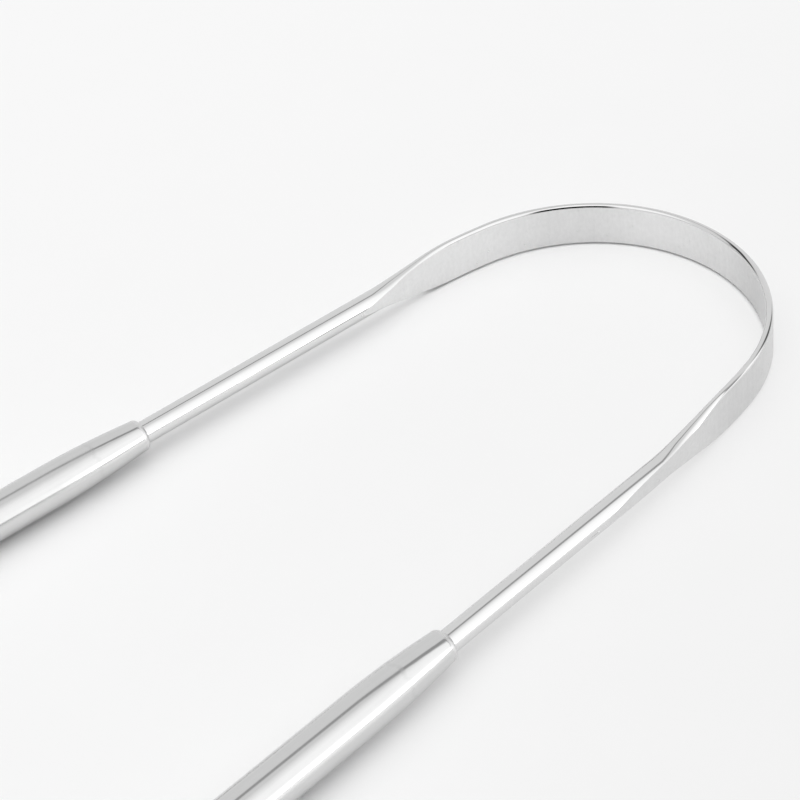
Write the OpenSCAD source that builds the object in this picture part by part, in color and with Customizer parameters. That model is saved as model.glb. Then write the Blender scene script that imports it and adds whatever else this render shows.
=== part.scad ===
// Tongue scraper: one steel wire, pressed flat in its middle and bent to a bow,
// with each of its two round arms held in a tubular handle.
// Millimetres. The wire's axes lie in one level plane. +X points to the bow's nose, +Y to the left arm.

/* [Wire and strip] */
// Diameter of the round wire
wire_d = 3.0; // [2:0.1:4]
// Thickness of the pressed strip
strip_t = 0.95; // [0.6:0.05:1.5]
// Width of the pressed strip
strip_w = 6.4; // [5:0.1:9]
// Full-width strip on each side of the nose, along its curve
flat_run = 37; // [20:0.5:42]
// Stretch over which the strip turns round again
draw_run = 14; // [8:0.5:24]
// Share of that stretch over which its thickness gets going
thicken_in = 0.78; // [0.3:0.01:0.78]
// Share of that stretch over which its width gets going
narrow_in = 0.36; // [0.1:0.01:0.7]
// Share of that stretch over which both come to rest
draw_out = 0.21; // [0.05:0.01:0.21]
// How far the strip's middle lies inside the arm's axis
strip_inset = 0.4; // [0:0.1:1]
// Angle at which the strip's outer flat runs out onto the round arm
runout_angle = 3.15; // [2:0.05:8]
// Distance behind the arm's foot at which the outer flat ends
runout_end = 18.9; // [8:0.1:30]
// Angle at which the strip's inner flat runs out onto the round arm
inner_angle = 4.3; // [2.5:0.05:8]
// Distance behind the arm's foot at which the inner flat ends
inner_end = 9.4; // [7.5:0.1:30]

/* [Bow] */
// Radius of the nose, at the strip's middle
nose_r = 23.8; // [16:0.2:30]
// Half of the angle that the nose turns through
nose_half_angle = 77; // [60:1:82]
// Radius of each shoulder, at the strip's middle
shoulder_r = 70; // [40:1:120]
// Angle of each arm from the middle line
splay = 3.1; // [0:0.1:6]
// Straight axis from the shoulder's end to the handle's mouth
arm_len = 44.1; // [30:0.1:70]

/* [Handles] */
// Length of each tube, from its mouth to its cap
tube_len = 73; // [50:1:90]
// Outer diameter of the tube
tube_d = 5.6; // [5:0.1:8]
// Wall of the tube
tube_wall = 0.5; // [0.3:0.05:0.8]
// Wall of the tube at its drawn-down mouth
mouth_wall = 0.55; // [0.5:0.05:0.8]
// Length of the drawn-down end
taper_len = 14; // [10:0.5:20]
// Rounding of the mouth's rim
lip_r = 0.15; // [0.1:0.05:0.45]
// Length of the bore that grips the wire
grip_len = 6; // [4:0.5:8]
// Wire inside the tube, past the mouth
tail_in = 12; // [8:0.5:20]
// Length of the cap's spigot inside the tube
spigot_len = 4; // [2:0.5:8]
// Radial bite of the wire and the spigots in the tubes
press_bite = 0.01; // [0.005:0.005:0.02]

/* [Hidden] */
$fn = 96;

// The computed stretch stays this far inside the true surfaces that it runs into, and reaches this far into them
seam_inset = 0.02;
seam_lap = 0.3;

// Steps of the computed surfaces
sweep_steps = 32;
section_points = 28;
taper_steps = 14;
lip_steps = 6;
right_angle = 90;
half_turn = 180;
full_turn = 360;

wire_r = wire_d / 2;
edge_r = strip_t / 2;
tube_r = tube_d / 2;
tube_bore_r = tube_r - tube_wall;
mouth_r = wire_r + mouth_wall;
grip_r = wire_r - press_bite;
spigot_r = tube_bore_r + press_bite;

// The plan curve: nose arc, shoulder arc, then the straight arm
shoulder_angle = right_angle - splay - nose_half_angle;
nose_run = nose_r * nose_half_angle * PI / half_turn;
shoulder_run = shoulder_r * shoulder_angle * PI / half_turn;
curve_run = nose_run + shoulder_run;
arc_run = min(nose_run, flat_run);
arc_angle = nose_half_angle * arc_run / nose_run;
sweep_end = max(flat_run + draw_run, curve_run + runout_end, curve_run + inner_end);
nose_centre = [-nose_r, 0];
shoulder_centre = nose_centre + (nose_r - shoulder_r) * ray(nose_half_angle);
shoulder_end = shoulder_centre + shoulder_r * ray(right_angle - splay);
arm_way = [-cos(splay), sin(splay)];
arm_out = ray(right_angle - splay);
arm_foot = shoulder_end + strip_inset * arm_out;
round_start = sweep_end - curve_run;
mouth = arm_foot + arm_len * arm_way;
tail = mouth + tube_len * arm_way;

// The whole stands over the origin, on its lowest edge
lift = max(strip_w / 2, tube_r);
length = edge_r - tail[0] + tube_r;
mid_shift = length / 2 - edge_r;

function ray(a) = [cos(a), sin(a)];

// Angle of the outward direction at a run along the curve from the nose's tip
function out_angle(s) =
    s < nose_run ? s / nose_r * half_turn / PI
    : s < curve_run ? nose_half_angle + (s - nose_run) / shoulder_r * half_turn / PI
    : right_angle - splay;
function curve_at(s) =
    s < nose_run ? nose_centre + nose_r * ray(out_angle(s))
    : s < curve_run ? shoulder_centre + shoulder_r * ray(out_angle(s))
    : shoulder_end + (s - curve_run) * arm_way;

// Section between strip and wire: 0 is the strip and 1 the round wire
function half_thick(u) = edge_r + (wire_r - edge_r) * eased(u, thicken_in);
function half_tall(u) = strip_w / 2 + (wire_r - strip_w / 2) * eased(u, narrow_in);
function inset(u) = strip_inset * (half_thick(u) - edge_r) / (wire_r - edge_r);
// Share of a change that is done at u: its rate rises up to a, stays, and falls over the last share b
function eased(u, a) =
    let (b = min(draw_out, 1 - a), rate = 2 / (2 - a - b))
    u < a ? rate * u * u / (2 * a)
    : u < 1 - b ? rate * (u - a / 2)
    : 1 - rate * (1 - u) * (1 - u) / (2 * b);
// A flat's distance from the strip's middle line: even on the strip, then out to the wire's own side
function run_out(s, full, end, angle) = max(edge_r, full - (curve_run + end - s) * tan(angle)) - seam_inset;
function outer_face(s) = run_out(s, wire_r + strip_inset, runout_end, runout_angle);
function inner_face(s) = run_out(s, wire_r - strip_inset, inner_end, inner_angle);
function side_of(a) = sin(a) > 0 ? 1 : -1;
function section_point(u, a) =
    let (b = half_thick(u) - seam_inset, rise = half_tall(u) - half_thick(u))
    [b * cos(a), b * sin(a) + side_of(a) * rise];
function draw_point(s, a) =
    let (u = min(1, max(0, (s - flat_run) / draw_run)), p = section_point(u, a),
         x = max(-inner_face(s), min(inset(u) + p[0], outer_face(s))),
         c = curve_at(s) + x * ray(out_angle(s)))
    [c[0], c[1], p[1]];

module on_frame() {
    translate([mid_shift, 0, lift]) children();
}

module nose() {
    translate([nose_centre[0], nose_centre[1], 0]) rotate([0, 0, -arc_angle])
        rotate_extrude(angle = 2 * arc_angle) translate([nose_r, 0]) {
            square([strip_t, strip_w - strip_t], center = true);
            for (side = [-1, 1]) translate([0, side * (strip_w - strip_t) / 2]) circle(r = edge_r);
        }
}

// From the nose's end to the round arm
module shoulder() {
    n = section_points;
    angles = [for (k = [0 : n - 1]) (k + 0.5) * full_turn / n];
    step = (sweep_end - arc_run) / sweep_steps;
    runs = concat(arc_run - seam_lap, [for (j = [0 : sweep_steps]) arc_run + step * j], sweep_end + seam_lap);
    points = [for (s = runs, a = angles) draw_point(s, a)];
    sides = [for (j = [0 : len(runs) - 2], k = [0 : n - 1])
        let (a = j * n + k, b = j * n + (k + 1) % n, c = a + n, d = b + n)
        each [[a, b, d], [a, d, c]]];
    last = (len(runs) - 1) * n;
    ends = [for (k = [1 : n - 2]) each [[0, k + 1, k], [last, last + k, last + k + 1]]];
    polyhedron(points = points, faces = concat(sides, ends));
}

// A shape along +Z is laid along the arm from a point of its axis
module along_arm(p) {
    translate([p[0], p[1], 0]) rotate([0, 0, half_turn - splay]) rotate([0, right_angle, 0]) children();
}

module round_arm() {
    start = arm_foot + round_start * arm_way;
    along_arm(start) cylinder(r = wire_r, h = arm_len - round_start + tail_in);
}

module half_bow() {
    shoulder();
    round_arm();
}

module bow() {
    on_frame() {
        nose();
        half_bow();
        mirror([0, 1, 0]) half_bow();
    }
}

// Outer radius of the tube at a distance behind its mouth
function tube_radius(x) = tube_r - (tube_r - mouth_r) * pow(1 - min(1, x / taper_len), 2);
lip_end_r = tube_radius(lip_r);
tube_outline = concat(
    [[grip_r, 0], [lip_end_r - lip_r, 0]],
    [for (k = [1 : lip_steps - 1])
        let (a = right_angle * k / lip_steps) [lip_end_r - lip_r + lip_r * sin(a), lip_r - lip_r * cos(a)]],
    [for (k = [0 : taper_steps])
        let (x = lip_r + (taper_len - lip_r) * k / taper_steps) [tube_radius(x), x]],
    [[tube_r, tube_len], [tube_bore_r, tube_len], [tube_bore_r, taper_len], [grip_r, grip_len]]
);

module handle_tube() {
    on_frame() along_arm(mouth) rotate_extrude() polygon(tube_outline);
}

// Domed cap, whose spigot sits in the tube's end
module tail_cap() {
    on_frame() along_arm(tail) {
        difference() {
            sphere(r = tube_r);
            translate([-tube_r, -tube_r, -2 * tube_r]) cube([2 * tube_r, 2 * tube_r, 2 * tube_r]);
        }
        translate([0, 0, -spigot_len]) cylinder(r = spigot_r, h = spigot_len);
    }
}

module scraper_bow() {
    color("gainsboro") bow();
}
module left_handle_tube() {
    color("silver") handle_tube();
}
module right_handle_tube() {
    color("silver") mirror([0, 1, 0]) handle_tube();
}
module left_tail_cap() {
    color("darkgray") tail_cap();
}
module right_tail_cap() {
    color("darkgray") mirror([0, 1, 0]) tail_cap();
}

scraper_bow();
left_handle_tube();
right_handle_tube();
left_tail_cap();
right_tail_cap();
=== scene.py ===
"""Tongue scraper: its looks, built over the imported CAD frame. Metres, in the CAD's frame."""
import math
from functools import lru_cache

import bpy
import numpy as np
from mathutils import Matrix, Vector


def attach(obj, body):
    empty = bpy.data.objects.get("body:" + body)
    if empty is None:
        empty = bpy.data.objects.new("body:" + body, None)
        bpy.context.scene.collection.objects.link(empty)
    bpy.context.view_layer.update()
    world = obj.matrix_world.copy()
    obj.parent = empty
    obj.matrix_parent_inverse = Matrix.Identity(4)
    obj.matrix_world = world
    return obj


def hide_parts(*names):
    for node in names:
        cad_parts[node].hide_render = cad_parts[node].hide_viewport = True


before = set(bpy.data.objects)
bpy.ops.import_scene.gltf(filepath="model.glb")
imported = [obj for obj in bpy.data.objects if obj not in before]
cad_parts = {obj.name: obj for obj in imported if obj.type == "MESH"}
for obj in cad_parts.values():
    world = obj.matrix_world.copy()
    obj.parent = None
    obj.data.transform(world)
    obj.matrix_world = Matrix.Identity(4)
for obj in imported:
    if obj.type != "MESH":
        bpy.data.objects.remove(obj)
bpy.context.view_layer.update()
BODY = "scraper"
MM = 0.001
QUARTER = math.pi / 2
IN_DEGREES = 180 / math.pi
UP = np.array([0, 0, 1.0])

# The part's sizes, as in its source. Angles are in degrees.
WIRE_R = 1.5 * MM
EDGE_R = 0.475 * MM
STRIP_W = 6.4 * MM
FLAT_RUN = 37 * MM
DRAW_RUN = 14 * MM
THICKEN_IN, NARROW_IN, DRAW_OUT = 0.78, 0.36, 0.21
STRIP_INSET = 0.4 * MM
RUNOUT_ANGLE, RUNOUT_END = 3.15, 18.9 * MM
INNER_ANGLE, INNER_END = 4.3, 9.4 * MM
NOSE_R = 23.8 * MM
NOSE_HALF_ANGLE = 77
SHOULDER_R = 70 * MM
SPLAY = 3.1
ARM_LEN = 44.1 * MM
TUBE_LEN = 73 * MM
TUBE_R = 2.8 * MM
TUBE_BORE_R = 2.3 * MM
MOUTH_R = 2.05 * MM
TAPER_LEN = 14 * MM
GRIP_LEN = 6 * MM
TAIL_IN = 12 * MM
SPIGOT_LEN = 4 * MM

# Sizes of the looks alone: the mouth's rounded lip, the rounded seam between tube and cap,
# and surfaces that stay a little inside the part's own
LIP_LEN, LIP_DEPTH = 0.5 * MM, 0.45 * MM
SEAM_R = 0.12 * MM
EDGE_GAP = 0.003 * MM
SHELL_R = TUBE_R - 0.01 * MM
BORE_R = WIRE_R - 0.01 * MM
SPIGOT_R = TUBE_BORE_R - 0.02 * MM

# Steps of the meshes: rows of faces on the strip's flats and roundings, rings along each half of the
# bow from stop to stop, and those of the turned pieces
FLAT_ROWS, ROUND_ROWS = 20, 22
BOW_STEPS = (74, 50, 16, 20, 16)
LIP_STEPS, TAPER_STEPS, BARREL_STEPS, SEAM_STEPS, DOME_STEPS, TURN_STEPS = 10, 32, 16, 4, 30, 128
# Small moves that give the bow's slopes, and the least length that still has a direction
SLOPE_RUN, SLOPE_TURN, LEAST = 0.01 * MM, 0.01, 1e-16
# A flat counts as ended this close to its end, and a radius under the second number lies on the axis
AT_END, ON_AXIS = 0.001 * MM, 1e-9
# Stretches of an outline that meet more bluntly than this are shaded as one
CREASE_COS = math.cos(math.radians(35))
# Corners of a face between two rings and two rows, round it
CORNERS = ((0, 0), (0, 1), (1, 1), (1, 0))
UV_MAP, FLATNESS = "Along", "flatness"


def ray(degrees):
    a = math.radians(degrees)
    return np.array([math.cos(a), math.sin(a)])


# The plan curve of the strip's middle line: nose arc, shoulder arc, then the straight arm
NOSE_RUN = NOSE_R * math.radians(NOSE_HALF_ANGLE)
SHOULDER_ANGLE = 90 - SPLAY - NOSE_HALF_ANGLE
CURVE_RUN = NOSE_RUN + SHOULDER_R * math.radians(SHOULDER_ANGLE)
ROUND_RUN = FLAT_RUN + DRAW_RUN
BOW_END = CURVE_RUN + ARM_LEN + TAIL_IN
NOSE_CENTRE = np.array([-NOSE_R, 0.0])
SHOULDER_CENTRE = NOSE_CENTRE + (NOSE_R - SHOULDER_R) * ray(NOSE_HALF_ANGLE)
ARM_OUT = ray(90 - SPLAY)
ARM_WAY = np.array([-math.cos(math.radians(SPLAY)), math.sin(math.radians(SPLAY))])
SHOULDER_END = SHOULDER_CENTRE + SHOULDER_R * ARM_OUT
ARM_FOOT = SHOULDER_END + STRIP_INSET * ARM_OUT
MOUTH = ARM_FOOT + ARM_LEN * ARM_WAY
TAIL = MOUTH + TUBE_LEN * ARM_WAY
# From the plan's origin to the frame's
MID_SHIFT = (EDGE_R - TAIL[0] + TUBE_R) / 2 - EDGE_R
LIFT = STRIP_W / 2


def placed(p, side, z=0.0):
    """A point of the plan, z above the wire's axis, in the frame. Side is 1 on the left and -1 on the right."""
    return np.array([p[0] + MID_SHIFT, side * p[1], z + LIFT])


def turned(way, side):
    """A direction of the plan in the frame."""
    return np.array([way[0], side * way[1], 0])


@lru_cache(None)
def plan(s):
    """Point and outward direction of the strip's middle line, at a run s from the nose's tip."""
    if s < NOSE_RUN:
        out = ray(math.degrees(s / NOSE_R))
        return NOSE_CENTRE + NOSE_R * out, out
    if s < CURVE_RUN:
        out = ray(NOSE_HALF_ANGLE + math.degrees((s - NOSE_RUN) / SHOULDER_R))
        return SHOULDER_CENTRE + SHOULDER_R * out, out
    return SHOULDER_END + (s - CURVE_RUN) * ARM_WAY, ARM_OUT


def eased(u, a, b=DRAW_OUT):
    """Share of a change that is done at u: its rate rises up to a, stays, and falls over the last share b."""
    rate = 2 / (2 - a - b)
    if u < a:
        return rate * u * u / (2 * a)
    return rate * (u - a / 2) if u < 1 - b else 1 - rate * (1 - u) ** 2 / (2 * b)


@lru_cache(None)
def section(s):
    """Half thickness, rise of the rounded edges' centres and inset of the section at s."""
    u = min(1, max(0, (s - FLAT_RUN) / DRAW_RUN))
    half_thick = EDGE_R + (WIRE_R - EDGE_R) * eased(u, THICKEN_IN)
    half_tall = STRIP_W / 2 - EDGE_GAP + (WIRE_R - STRIP_W / 2 + EDGE_GAP) * eased(u, NARROW_IN)
    return half_thick, half_tall - half_thick, STRIP_INSET * (half_thick - EDGE_R) / (WIRE_R - EDGE_R)


def run_out(s, full, end, angle):
    """Distance of a flat from the strip's middle line: even on the strip, then out to the wire's own side."""
    return max(EDGE_R, full - (CURVE_RUN + end - s) * math.tan(math.radians(angle))) - EDGE_GAP


def outer_face(s):
    return run_out(s, WIRE_R + STRIP_INSET, RUNOUT_END, RUNOUT_ANGLE)


def inner_face(s):
    return run_out(s, WIRE_R - STRIP_INSET, INNER_END, INNER_ANGLE)


# The section's zones, round from the outer flat over the top
ZONES = range(6)
OUTER_FLAT, OUTER_TOP, INNER_TOP, INNER_FLAT, INNER_BOTTOM, OUTER_BOTTOM = ZONES
FLATS = (OUTER_FLAT, INNER_FLAT)
OUTER = (OUTER_FLAT, OUTER_TOP, OUTER_BOTTOM)


def rows_in(zone):
    return FLAT_ROWS if zone in FLATS else ROUND_ROWS


def zone_point(s, zone, t):
    """Point of the section at s, a share t through a zone."""
    half_thick, rise, inset = section(s)
    # Angles, from the outward and the inward direction, at which the two flats cut the rounded edges
    outer = math.acos(min(1, (outer_face(s) - inset) / half_thick))
    inner = math.acos(min(1, (inner_face(s) + inset) / half_thick))
    if zone == OUTER_FLAT:
        return inset + half_thick * math.cos(outer), (rise + half_thick * math.sin(outer)) * (2 * t - 1)
    if zone == INNER_FLAT:
        return inset - half_thick * math.cos(inner), (rise + half_thick * math.sin(inner)) * (1 - 2 * t)
    a0, a1 = {
        OUTER_TOP: (outer, QUARTER),
        INNER_TOP: (QUARTER, 2 * QUARTER - inner),
        INNER_BOTTOM: (2 * QUARTER + inner, 3 * QUARTER),
        OUTER_BOTTOM: (3 * QUARTER, 4 * QUARTER - outer),
    }[zone]
    a = a0 + (a1 - a0) * t
    x, z = half_thick * math.cos(a), half_thick * math.sin(a)
    return inset + x, z + (rise if zone in (OUTER_TOP, INNER_TOP) else -rise)


def bow_point(s, zone, t):
    """Point of the bow at a run s, which is below 0 on the right."""
    middle, out = plan(abs(s))
    x, z = zone_point(abs(s), zone, t)
    return placed(middle + x * out, math.copysign(1, s), z)


def bow_normal(s, zone, t):
    """Outward direction by differences that stay inside the zone, so that the flat's edges are crisp."""
    along = bow_point(s + SLOPE_RUN, zone, t) - bow_point(s - SLOPE_RUN, zone, t)
    around = bow_point(s, zone, min(1, t + SLOPE_TURN)) - bow_point(s, zone, max(0, t - SLOPE_TURN))
    n = np.cross(around, along)
    size = np.linalg.norm(n)
    if size > LEAST:
        return n / size
    # A flat that has shrunk to nothing still faces out or in
    out = plan(abs(s))[1]
    return turned(out if zone == OUTER_FLAT else -out, math.copysign(1, s))


def steps(start, end, count):
    """Evenly spaced values after start, up to end."""
    return np.linspace(start, end, count + 1)[1:]


def arc(count, start=0.0, end=QUARTER):
    return [start + (end - start) * k / count for k in range(count + 1)]


def mesh_object(name, points, faces, normals, uvs, material, flatness=None):
    """A smooth mesh with a normal and a map point for each corner of each face."""
    mesh = bpy.data.meshes.new(name)
    mesh.from_pydata([tuple(p) for p in points], [], faces)
    mesh.polygons.foreach_set("use_smooth", [True] * len(mesh.polygons))
    mesh.uv_layers.new(name=UV_MAP).uv.foreach_set("vector", np.asarray(uvs, np.float32).ravel())
    if flatness is not None:
        mask = mesh.attributes.new(FLATNESS, "FLOAT", "POINT")
        mask.data.foreach_set("value", np.asarray(flatness, np.float32))
    mesh.validate()
    first = mesh.polygons[0]
    if first.normal.dot(Vector(normals[first.loop_start])) < 0:
        raise ValueError(f"{name}: faces and normals disagree")
    mesh.normals_split_custom_set([tuple(n) for n in normals])
    mesh.update()
    mesh.materials.append(material)
    obj = bpy.data.objects.new(name, mesh)
    bpy.context.scene.collection.objects.link(obj)
    return obj


def bow_runs():
    """Runs of the rings: close where the section changes, wide on the straight arm."""
    stops = (0, FLAT_RUN, ROUND_RUN, CURVE_RUN + INNER_END, CURVE_RUN + RUNOUT_END, BOW_END)
    half = np.concatenate([[0.0]] + [steps(*stretch) for stretch in zip(stops, stops[1:], BOW_STEPS)])
    return np.concatenate([-half[:0:-1], half])


def build_bow(material):
    runs = bow_runs()
    rows = [(zone, k / rows_in(zone)) for zone in ZONES for k in range(rows_in(zone))]
    n = len(rows)
    points = [bow_point(s, zone, t) for s in runs for zone, t in rows]
    # Each row of faces takes the normals of its own zone at both its sides
    row_normals = [
        [(bow_normal(s, zone, t), bow_normal(s, zone, t + 1 / rows_in(zone))) for zone, t in rows] for s in runs
    ]
    flatness = []
    for s in runs:
        for k, (zone, _) in enumerate(rows):
            # A row between a flat and a round zone belongs to the flat
            beside_flat = zone in FLATS or rows[k - 1][0] in FLATS
            end = CURVE_RUN + (RUNOUT_END if zone in OUTER else INNER_END)
            flatness.append(float(beside_flat and abs(s) < end - AT_END))
    around = 2 * math.pi * WIRE_R / MM
    faces, uvs, normals = [], [], []
    for j in range(len(runs) - 1):
        for k in range(n):
            faces.append(tuple((j + dj) * n + (k + dk) % n for dj, dk in CORNERS))
            uvs += [(runs[j + dj] / MM, (k + dk) / n * around) for dj, dk in CORNERS]
            normals += [row_normals[j + dj][k][dk] for dj, dk in CORNERS]
    # The wire's two ends, inside the tubes
    for j, order in ((0, range(n - 1, -1, -1)), (len(runs) - 1, range(n))):
        faces.append(tuple(j * n + k for k in order))
        uvs += [(0, 0)] * n
        normals += [turned(ARM_WAY, math.copysign(1, runs[j]))] * n
    return mesh_object("bow_steel", points, faces, normals, uvs, material, flatness)


def tube_radius(x):
    back = 1 - min(1, x / TAPER_LEN)
    return SHELL_R - (SHELL_R - MOUTH_R) * back * back


def tube_outline():
    """(distance behind the mouth, radius) from the bore over the lip to the tail, and back through the bore."""
    line = [(0, BORE_R)]
    lip = [(LIP_LEN * (1 - math.cos(a)), LIP_DEPTH * (1 - math.sin(a))) for a in arc(LIP_STEPS)]
    line += [(x, tube_radius(x) - depth) for x, depth in lip]
    line += [(x, tube_radius(x)) for x in steps(LIP_LEN, TAPER_LEN, TAPER_STEPS)]
    line += [(x, SHELL_R) for x in steps(TAPER_LEN, TUBE_LEN - SEAM_R, BARREL_STEPS)]
    seam = [(SEAM_R * (1 - math.sin(a)), SEAM_R * (1 - math.cos(a))) for a in arc(SEAM_STEPS)[1:]]
    line += [(TUBE_LEN - x, SHELL_R - depth) for x, depth in seam]
    line += [(TUBE_LEN, TUBE_BORE_R), (TAPER_LEN, TUBE_BORE_R), (GRIP_LEN, BORE_R)]
    return line


def cap_outline():
    """(distance behind the tail, radius) of the domed cap, from its spigot's end to its top."""
    line = [(-SPIGOT_LEN, 0), (-SPIGOT_LEN, SPIGOT_R), (0, SPIGOT_R)]
    line += [(SEAM_R * (1 - math.cos(a)), SHELL_R - SEAM_R + SEAM_R * math.sin(a)) for a in arc(SEAM_STEPS)]
    dome = arc(DOME_STEPS, math.asin(SEAM_R / SHELL_R))[1:-1]
    line += [(SHELL_R * math.sin(a), SHELL_R * math.cos(a)) for a in dome]
    line.append((SHELL_R, 0))
    return line


def lathe(name, outline, start, side, material, closed):
    """Turns a (distance, radius) outline about the arm, from a point of its axis. The seam lies underneath.
    The outline runs with the metal on its right."""
    way = turned(ARM_WAY, side)
    across = np.cross(UP, way)
    base = placed(start, side)

    def spoke(k):
        a = 2 * math.pi * k / TURN_STEPS - QUARTER
        return math.cos(a) * across + math.sin(a) * UP

    if closed:
        outline = outline + outline[:1]
    lengths = [math.dist(a, b) for a, b in zip(outline, outline[1:])]
    runs = np.concatenate([[0], np.cumsum(lengths)])
    # Each stretch of the outline has its own normal; close ones are blended where they meet
    ways = [np.array([b[1] - a[1], a[0] - b[0]]) / size for a, b, size in zip(outline, outline[1:], lengths)]

    def meeting(j, k):
        """Normal of stretch j at its end that it shares with stretch k."""
        if not closed and not 0 <= k < len(ways):
            return ways[j]
        other = k % len(ways)
        if ways[j] @ ways[other] < CREASE_COS:
            return ways[j]
        both = ways[j] * lengths[other] + ways[other] * lengths[j]
        return both / np.linalg.norm(both)

    rows = outline[:-1] if closed else outline
    points, index = [], []
    for x, r in rows:
        if r < ON_AXIS:
            index.append([len(points)] * TURN_STEPS)
            points.append(base + way * x)
        else:
            index.append(list(range(len(points), len(points) + TURN_STEPS)))
            points += [base + way * x + r * spoke(k) for k in range(TURN_STEPS)]
    faces, uvs, normals = [], [], []
    for j in range(len(ways)):
        ends = ((j, meeting(j, j - 1)), ((j + 1) % len(rows), meeting(j, j + 1)))
        for k in range(TURN_STEPS):
            face = []
            for end, at in ((1, k), (0, k), (0, k + 1), (1, k + 1)):
                row, (nx, nr) = ends[end]
                vertex = index[row][at % TURN_STEPS]
                if vertex in face:
                    continue
                face.append(vertex)
                uvs.append((runs[j + end] / MM, at / TURN_STEPS * 2 * math.pi * TUBE_R / MM))
                normals.append(-nx * way - nr * spoke(at))
            faces.append(tuple(face))
    return mesh_object(name, points, faces, normals, uvs, material)


class Value:
    """A node's output. Its arithmetic adds Math nodes."""

    def __init__(self, graph, socket):
        self.graph, self.socket = graph, socket

    def __add__(self, other):
        return self.graph.math("ADD", self, other)

    def __sub__(self, other):
        return self.graph.math("SUBTRACT", self, other)

    def __rsub__(self, other):
        return self.graph.math("SUBTRACT", other, self)

    def __mul__(self, other):
        return self.graph.math("MULTIPLY", self, other)

    __radd__, __rmul__ = __add__, __mul__


class Graph:
    """Short calls for a node tree. What they take is a number, a tuple or a Value."""

    def __init__(self, tree):
        self.nodes, self.links = tree.nodes, tree.links

    def plug(self, socket, value):
        if isinstance(value, Value):
            self.links.new(value.socket, socket)
        else:
            socket.default_value = value

    def make(self, kind, output, inputs=(), **settings):
        """One output of a new node. Inputs are pairs of a socket's name or number and what goes into it."""
        node = self.nodes.new("ShaderNode" + kind)
        for name, value in settings.items():
            setattr(node, name, value)
        for key, value in inputs:
            self.plug(node.inputs[key], value)
        return Value(self, node.outputs[output])

    def math(self, operation, *values):
        return self.make("Math", 0, enumerate(values), operation=operation)

    def step(self, value, low, high, start=0.0, end=1.0):
        """Smooth step from start at low to end at high."""
        if low > high:
            low, high, start, end = high, low, end, start
        inputs = (("Value", value), ("From Min", low), ("From Max", high), ("To Min", start), ("To Max", end))
        return self.make("MapRange", "Result", inputs, interpolation_type="SMOOTHSTEP")

    def mix(self, a, b, factor):
        return self.make("Mix", "Result", (("Factor", factor), ("A", a), ("B", b)))

    def dot(self, vector, axis):
        return self.make("VectorMath", "Value", ((0, vector), (1, axis)), operation="DOT_PRODUCT")

    def split(self, vector):
        node = self.nodes.new("ShaderNodeSeparateXYZ")
        self.plug(node.inputs[0], vector)
        return [Value(self, output) for output in node.outputs]

    def join(self, x, y, z):
        return self.make("CombineXYZ", 0, enumerate((x, y, z)))

    def noise(self, vector, scale, detail, roughness=0.5):
        inputs = (("Vector", vector), ("Scale", scale), ("Detail", detail), ("Roughness", roughness))
        return self.make("TexNoise", "Fac", inputs)

    def grey(self, value):
        return self.make("CombineColor", 0, enumerate((value, value, value)))

    def light_path(self, output):
        return self.make("LightPath", output)


class Paint(Graph):
    """A material's nodes, with its Principled shader and the place on it in mm."""

    def __init__(self, name):
        self.material = bpy.data.materials.new(name)
        self.material.use_nodes = True
        super().__init__(self.material.node_tree)
        self.shader = self.nodes["Principled BSDF"]
        position = self.make("NewGeometry", "Position")
        self.place = self.make("VectorMath", 0, ((0, position), ("Scale", 1 / MM)), operation="SCALE")

    def set(self, name, value):
        self.plug(self.shader.inputs[name], value)


# Patterns of noise. In patches: how many per mm, detail and roughness of the noise.
HAZE, BLOTCHES, KNOCKS = (0.35, 3.0, 0.6), (0.55, 2.0), (2.4, 1.0)
# Drawn out along or around a piece: how many per mm along and around, layer, detail and roughness
LINES, HAIRS = (0.05, 2.2, 0, 3.0, 0.65), (0.09, 5.0, 7, 1.0)
GRAIN, MARKS = (2.2, 4.5, 3, 3.0, 0.6), (1.6, 0.18, 5, 2.0)
DENTS, RINGS = (0.28, 0.75, 11, 2.0), (4.0, 0.0, 1, 3.0, 0.6)
# Levels of the noise between which a scratch and a knock set in, and the middle of any noise
SCRATCH, KNOCK, MIDDLE = (0.70, 0.76), (0.66, 0.74), 0.5

# Greys, and how much the patterns change them
WIRE_GREY, SATIN_GREY, TUBE_GREY, CAP_GREY = 0.72, 0.75, 0.665, 0.66
POLISH_TONE, GRAIN_TONE, BLOTCH_TONE, EDGE_TONE, RIM_TONE, CAP_TONE = 0.05, 0.13, 0.06, -0.10, 0.07, 0.06
# Roughness of each polish: its lowest, what full haze adds, and what a scratch adds
WIRE_POLISH, TUBE_POLISH, CAP_POLISH = (0.04, 0.06, 0.08), (0.07, 0.07, 0.08), (0.06, 0.08, 0.05)
SATIN_ROUGH, GRAIN_ROUGH, BLOTCH_ROUGH, KNOCK_ROUGH, RING_ROUGH = 0.22, 0.10, 0.06, 0.10, 0.05
# Relief: its full height on each ground, and the part that each pattern has in it
FINE_RELIEF, CAP_RELIEF, ROLLED_RELIEF = 0.0015 * MM, 0.002 * MM, 0.012 * MM
LINE_HEIGHT, SCRATCH_DEPTH, GRAIN_HEIGHT, MARK_HEIGHT = 0.5, 0.3, 0.8, 0.7
RING_HEIGHT, KNOCK_DEPTH, DRAWN_DEPTH = 0.6, 0.8, 0.25
# The strip's paint is brighter towards the left shoulder and at the nose's tip, and duller in two places right
# of it: partly wear, and partly painted reflection, brighter where the flats mirror lit floor and duller where
# they mirror shade. In mm from the nose's tip to the left: from and to, softness, change of grey.
WEAR_AND_PAINTED_REFLECTION = ((28, 60, 6, 0.045), (1, 12, 4, 0.035), (-22, -8, 5, -0.11), (-40, -26, 5, -0.06))
# Along a tube's outline from its bore, in mm: where the drawn-down end and the dull rim stop
SWAGE_FROM, SWAGE_TO, RIM_FROM, RIM_TO = 7.6, 8.6, 0.85, 1.3
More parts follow.
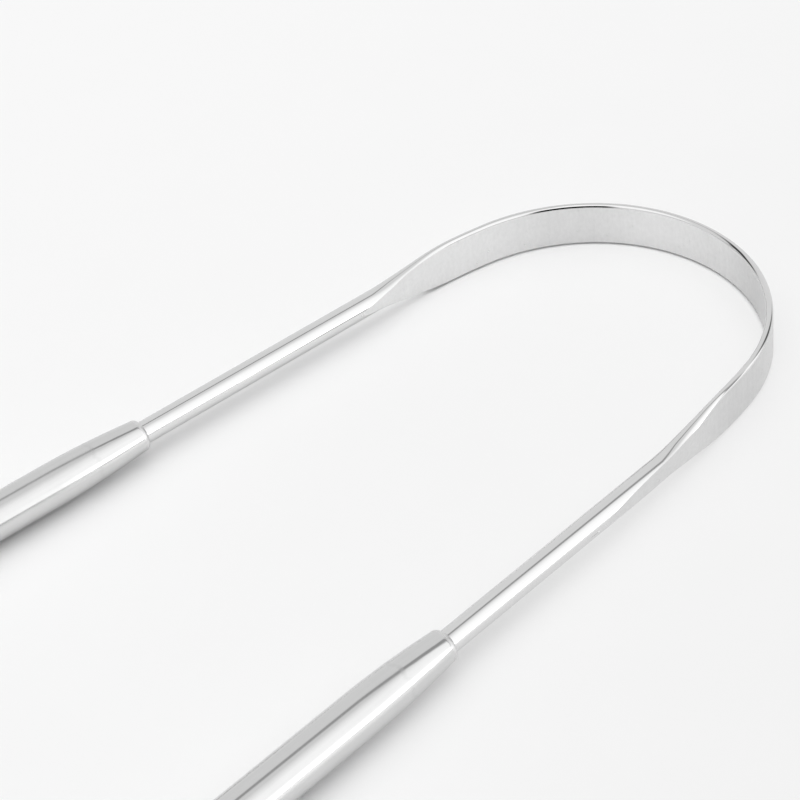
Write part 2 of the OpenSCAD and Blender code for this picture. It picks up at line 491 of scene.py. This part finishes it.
# The drawn-down end stops at a ragged line: depth of the rags in mm, how many per mm round the tube,
# and their layer and detail of noise
RAG_DEPTH, RAGS, RAG_LAYER, RAG_DETAIL = 3.0, 0.55, 2, 2.0
# Changes of a tube's roughness: the left one's behind that line, both tubes' drawn ends, the line and the rim
LEFT_ROUGH, DRAWN_ROUGH, EDGE_ROUGH, RIM_ROUGH = 0.05, -0.04, 0.3, 0.36


class Metal(Paint):
    """A metal's nodes: its run u and turn v in mm, and the haze, drawing lines and scratches of its polish."""

    def __init__(self, name, layer):
        super().__init__(name)
        self.set("Metallic", 1)
        self.u, self.v, _ = self.split(self.make("UVMap", "UV", uv_map=UV_MAP))
        self.haze = self.noise(self.place, *HAZE)
        self.lines = self.drawn_out(*LINES, shift=layer)
        self.scratch = self.step(self.drawn_out(*HAIRS, shift=layer), *SCRATCH)

    def drawn_out(self, along, around, layer, detail, roughness=0.5, shift=0):
        return self.noise(self.join(self.u * along, self.v * around, layer + shift), 1.0, detail, roughness)

    def polish_tone(self):
        return (self.haze + self.lines - 2 * MIDDLE) * POLISH_TONE

    def polish_rough(self, lowest, haze_adds, scratch_adds):
        return self.haze * haze_adds + self.scratch * scratch_adds + lowest

    def polish_relief(self):
        return self.lines * LINE_HEIGHT - self.scratch * SCRATCH_DEPTH

    def bump(self, height, distance, *below):
        """Relief, on top of another one's normal if that is given."""
        inputs = [("Height", height), ("Distance", distance)] + [("Normal", normal) for normal in below]
        return self.make("Bump", "Normal", inputs)


def build_wire_steel():
    m = Metal("wire_steel", 0)
    flat = m.make("Attribute", "Fac", attribute_name=FLATNESS)
    # Ground flats: fine grain that runs along the strip, soft blotches, and faint marks across it
    grain, blotch, marks = m.drawn_out(*GRAIN), m.noise(m.place, *BLOTCHES), m.drawn_out(*MARKS)
    satin_and_reflection = (grain - MIDDLE) * GRAIN_TONE + (blotch + marks - 2 * MIDDLE) * BLOTCH_TONE
    # Painted reflection and shade, partly wear: the strip's brighter and duller places
    for low, high, soft, change in WEAR_AND_PAINTED_REFLECTION:
        satin_and_reflection = satin_and_reflection + m.step(m.u, low - soft, low + soft) * m.step(m.u, high + soft, high - soft) * change
    m.set("Base Color", m.grey(m.mix(m.polish_tone() + WIRE_GREY, satin_and_reflection + SATIN_GREY, flat)))
    ground = grain * GRAIN_ROUGH + blotch * BLOTCH_ROUGH + SATIN_ROUGH
    m.set("Roughness", m.mix(m.polish_rough(*WIRE_POLISH), ground, flat))
    relief = m.mix(m.polish_relief(), grain * GRAIN_HEIGHT + marks * MARK_HEIGHT, flat)
    m.set("Normal", m.bump(relief, FINE_RELIEF))
    return m.material


def build_tube_steel():
    m = Metal("tube_steel", 20)
    # The drawn-down end is left smoother but uneven by the rollers, up to a ragged line round the tube
    rags = m.noise(m.join(m.v * RAGS, 0.0, RAG_LAYER), 1.0, RAG_DETAIL)
    drawn_end = m.step(m.u + (rags - MIDDLE) * RAG_DEPTH, SWAGE_TO, SWAGE_FROM)
    edge = drawn_end * (1.0 - drawn_end)
    rim = m.step(m.u, RIM_TO, RIM_FROM)
    m.set("Base Color", m.grey(m.polish_tone() + (edge * EDGE_TONE + rim * RIM_TONE) + TUBE_GREY))
    # 1 mm to each side of the middle line is as good as any to tell left from right
    left = m.step(m.split(m.place)[1], -1, 1, 0.0, LEFT_ROUGH)
    rough = m.polish_rough(*TUBE_POLISH) + m.mix(left, DRAWN_ROUGH, drawn_end)
    m.set("Roughness", rough + (edge * EDGE_ROUGH + rim * RIM_ROUGH))
    rolled = m.drawn_out(*DENTS) * drawn_end - drawn_end * DRAWN_DEPTH
    m.set("Normal", m.bump(rolled, ROLLED_RELIEF, m.bump(m.polish_relief(), FINE_RELIEF)))
    return m.material


def build_cap_steel():
    m = Metal("cap_steel", 40)
    # Turned rings left round the dome, and small knocks
    rings = m.drawn_out(*RINGS)
    knocks = m.step(m.noise(m.place, *KNOCKS), *KNOCK)
    m.set("Base Color", m.grey((m.haze + rings - 2 * MIDDLE) * CAP_TONE + CAP_GREY))
    m.set("Roughness", m.polish_rough(*CAP_POLISH) + (knocks * KNOCK_ROUGH + rings * RING_ROUGH))
    m.set("Normal", m.bump(rings * RING_HEIGHT - knocks * KNOCK_DEPTH, CAP_RELIEF))
    return m.material


wire_steel, tube_steel, cap_steel = build_wire_steel(), build_tube_steel(), build_cap_steel()

bow = build_bow(wire_steel)
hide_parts("scraper_bow")
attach(bow, BODY)

for side, word in ((1, "left"), (-1, "right")):
    tube = lathe(f"{word}_tube_steel", tube_outline(), MOUTH, side, tube_steel, True)
    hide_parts(f"{word}_handle_tube")
    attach(tube, BODY)
    cap = lathe(f"{word}_cap_steel", cap_outline(), TAIL, side, cap_steel, False)
    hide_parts(f"{word}_tail_cap")
    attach(cap, BODY)

# Floor: pale and plain. Lengths on it are in mm, but for its own half side.
FLOOR_HALF, FLOOR_GREY, FLOOR_ROUGH, FLOOR_SHEEN = 3.0, 0.945, 0.16, 0.2
MOTTLE, MOTTLE_TONE = (0.08, 2.0), 0.01
SMUDGES, SMUDGE_ROUGH = (0.5, 2.0), 0.08
# Painted shade: its paint gets a little darker along a direction
FADE_WAY, FADE_REACH, SHADE_FADE = (0.2, -0.98, 0), 110.0, 0.045
# Painted light: a share of its own pale colour glows and softens the shadow, more in some places than others.
# The share grows from the handles towards the nose and is less by the left arm.
GLOW_LEVEL, GLOW_BACK, GLOW_FRONT, GLOW_LOW, GLOW_HIGH = 0.935, -30, 30, 0.12, 0.68
LEFT_FROM, LEFT_TO, LEFT_SHARE = 8, 22, 0.54
# Inside the bow's far side, which shades itself, it is small in the metal's reflections and gone where
# the metal all but touches the floor: distance for that, and the openness between which it sets in
FAR_FROM, FAR_TO, FAR_MIRRORED = -19, -11, 0.3
CONTACT, CONTACT_SAMPLES, CONTACT_OPEN = 0.6 * MM, 8, (0.4, 0.95)


def build_floor():
    f = FLOOR_HALF
    mesh = bpy.data.meshes.new("floor")
    mesh.from_pydata([(-f, -f, 0), (f, -f, 0), (f, f, 0), (-f, f, 0)], [], [(0, 1, 2, 3)])
    floor = bpy.data.objects.new("floor", mesh)
    bpy.context.scene.collection.objects.link(floor)
    g = Paint("floor_paint")
    # Painted shade: the floor's paint darkens along a direction
    shade_fade = g.step(g.dot(g.place, FADE_WAY), -FADE_REACH, FADE_REACH, 0.0, SHADE_FADE)
    level = g.grey(FLOOR_GREY - shade_fade + (g.noise(g.place, *MOTTLE) - MIDDLE) * MOTTLE_TONE)
    g.set("Base Color", level)
    g.set("Roughness", g.noise(g.place, *SMUDGES) * SMUDGE_ROUGH + FLOOR_ROUGH)
    g.set("Specular IOR Level", FLOOR_SHEEN)
    # Painted light: the floor glows in its own colour, by the share set below
    glow = g.make("Emission", 0, (("Color", level), ("Strength", GLOW_LEVEL / FLOOR_GREY)))
    x, y, _ = g.split(g.place)
    share = g.step(x, GLOW_BACK, GLOW_FRONT, GLOW_LOW, GLOW_HIGH)
    share = share * g.step(y, LEFT_FROM, LEFT_TO, 1.0, LEFT_SHARE)
    far = g.step(y, FAR_FROM, FAR_TO)
    near = g.make("AmbientOcclusion", "AO", (("Distance", CONTACT),), samples=CONTACT_SAMPLES)
    open_share = g.mix(1.0, g.step(near, *CONTACT_OPEN), far)
    mirrored = g.light_path("Is Glossy Ray") * g.mix(1.0, FAR_MIRRORED, far)
    share = share * open_share * g.math("MAXIMUM", g.light_path("Is Camera Ray"), mirrored)
    surface = g.make("MixShader", 0, ((0, share), (1, Value(g, g.shader.outputs[0])), (2, glow)))
    g.plug(g.nodes["Material Output"].inputs["Surface"], surface)
    mesh.materials.append(g.material)


build_floor()

# Studio: soft light from above for the floor, and for mirrors a pale wall, soft boxes and the dark gaps
# between them. Azimuths run from +X towards +Y, in degrees.
BACKGROUND, WALL = 0.93, 0.88
# Light falls off from overhead as this power of its height. Metal passes it on to the floor with a gain.
OVERHEAD_POWER, BOUNCE_GAIN = 2.0, 2.0
# Patches of the mirrored sky: azimuth from and to, elevation from and to, softness, and in lists a level
NEAR_BOX = (-112, -12, -20, 100, 8)
# It is brightest about its own middle: direction, cosines of the rim and the full part, levels there
NEAR_MIDDLE, NEAR_RIM, NEAR_FULL, NEAR_RIM_LEVEL, NEAR_LEVEL = (0.4535, -0.8529, 0.2588), 0.30, 0.95, 0.80, 1.36
# Towards its foot it outshines white: patch, elevations between which that sets in, and gain
FOOT_BOX, FOOT_FROM, FOOT_TO, FOOT_GAIN = (-71, -48, -20, 100, 4), 26, 6, 1.9
SOFT_BOXES = (
    (-190, -90, 42, 100, 8, 1.38),
    (150, 205, 26, 100, 8, 1.30),
)
DARK_GAPS = (
    (202, 252, -20, 50, 6, 0.0),
    (98, 116, 4, 44, 6, 0.04),
    (-16, 4, 3, 38, 6, 0.12),
)
# A dark gap runs over the top, along a plane, from some elevation on
GAP_NORMAL, GAP_FROM, GAP_TO, GAP_SOFT, GAP_RISE = (0.676, 0.588, -0.441), -0.05, 0.075, 0.03, (10, 20)
# It is darker and wider at its far left end
GAP_END, GAP_LEVEL, GAP_END_LEVEL, GAP_END_WIDER = (0.5, 0.8), 0.40, 0.06, 0.08
# Straight up, and between no diffuse bounce and one
ZENITH, HALF_A_BOUNCE = 90, 0.5


def build_world():
    world = bpy.data.worlds.new("studio")
    bpy.context.scene.world = world
    world.use_nodes = True
    # The light depends on the kind of ray, so the surfaces' own rays sample it
    world.cycles.sampling_method = "NONE"
    g = Graph(world.node_tree)
    way = g.make("TexCoord", "Generated")
    _, y, z = g.split(way)
    elevation = g.math("ARCSINE", z) * IN_DEGREES

    def patch(az_from, az_to, el_from, el_to, soft):
        """Mask of a patch of sky, with its azimuth counted from its own middle."""
        middle, half = math.radians((az_from + az_to) / 2), (az_to - az_from) / 2
        ahead = g.dot(way, (math.cos(middle), math.sin(middle), 0))
        aside = g.dot(way, (-math.sin(middle), math.cos(middle), 0))
        off = g.math("ABSOLUTE", g.math("ARCTAN2", aside, ahead)) * IN_DEGREES
        mask = g.step(off, half + soft, half - soft) * g.step(elevation, el_from - soft, el_from + soft)
        return mask if el_to > ZENITH else mask * g.step(elevation, el_to + soft, el_to - soft)

    near_level = g.step(g.dot(way, NEAR_MIDDLE), NEAR_RIM, NEAR_FULL, NEAR_RIM_LEVEL, NEAR_LEVEL)
    foot = patch(*FOOT_BOX) * g.step(elevation, FOOT_FROM, FOOT_TO)
    mirrored = g.mix(WALL, near_level * (1.0 + foot * (FOOT_GAIN - 1)), patch(*NEAR_BOX))
    for *where, level in SOFT_BOXES + DARK_GAPS:
        mirrored = g.mix(mirrored, level, patch(*where))
    side, end = g.dot(way, GAP_NORMAL), g.step(y, *GAP_END)
    over = side - (end * GAP_END_WIDER + GAP_TO)
    gap = g.step(side, GAP_FROM - GAP_SOFT, GAP_FROM + GAP_SOFT) * g.step(over, GAP_SOFT, -GAP_SOFT)
    gap_level = g.step(end, 0, 1, GAP_LEVEL, GAP_END_LEVEL)
    mirrored = g.mix(mirrored, gap_level, gap * g.step(elevation, *GAP_RISE))
    # An even sky of level 1 and this one light a level floor alike
    peak = (OVERHEAD_POWER + 2) / 2
    overhead = g.math("POWER", g.math("MAXIMUM", z, 0.0), OVERHEAD_POWER) * peak
    glossy = g.light_path("Is Glossy Ray")
    bounced = glossy * g.math("GREATER_THAN", g.light_path("Diffuse Depth"), HALF_A_BOUNCE)
    below = overhead * (1.0 + bounced * (BOUNCE_GAIN - 1))
    light = g.mix(below, mirrored, glossy - bounced)
    background = g.nodes["Background"]
    background.inputs["Color"].default_value = (1, 1, 1, 1)
    g.plug(background.inputs["Strength"], g.mix(light, BACKGROUND, g.light_path("Is Camera Ray")))


build_world()

# Camera, at the photograph's angle: where it looks from, in degrees and metres, at what, and its lens
AZIMUTH, ELEVATION, ROLL, DISTANCE = -38.133, 38.951, -7.344, 293.788 * MM
TARGET = Vector((26.104 * MM, 7.627 * MM, LIFT))
IMAGE_SIDE, FOCAL_PX, SENSOR_MM, CLIP_START = 800, 2345.6, 36.0, 0.01


def build_camera():
    a, e, roll = (math.radians(x) for x in (AZIMUTH, ELEVATION, ROLL))
    back = Vector((math.sin(a) * math.cos(e), -math.cos(a) * math.cos(e), math.sin(e)))
    right = Vector(UP).cross(back).normalized()
    up = back.cross(right)
    camera_right = math.cos(roll) * right + math.sin(roll) * up
    camera_up = -math.sin(roll) * right + math.cos(roll) * up
    camera = bpy.data.objects.new("camera", bpy.data.cameras.new("camera"))
    camera.data.sensor_width = SENSOR_MM
    camera.data.lens = FOCAL_PX / IMAGE_SIDE * SENSOR_MM
    camera.data.clip_start = CLIP_START
    rotation = Matrix((camera_right, camera_up, back)).transposed()
    camera.matrix_world = Matrix.Translation(TARGET + back * DISTANCE) @ rotation.to_4x4()
    bpy.context.scene.collection.objects.link(camera)
    bpy.context.scene.camera = camera


build_camera()
bpy.context.scene.view_settings.view_transform = "Standard"
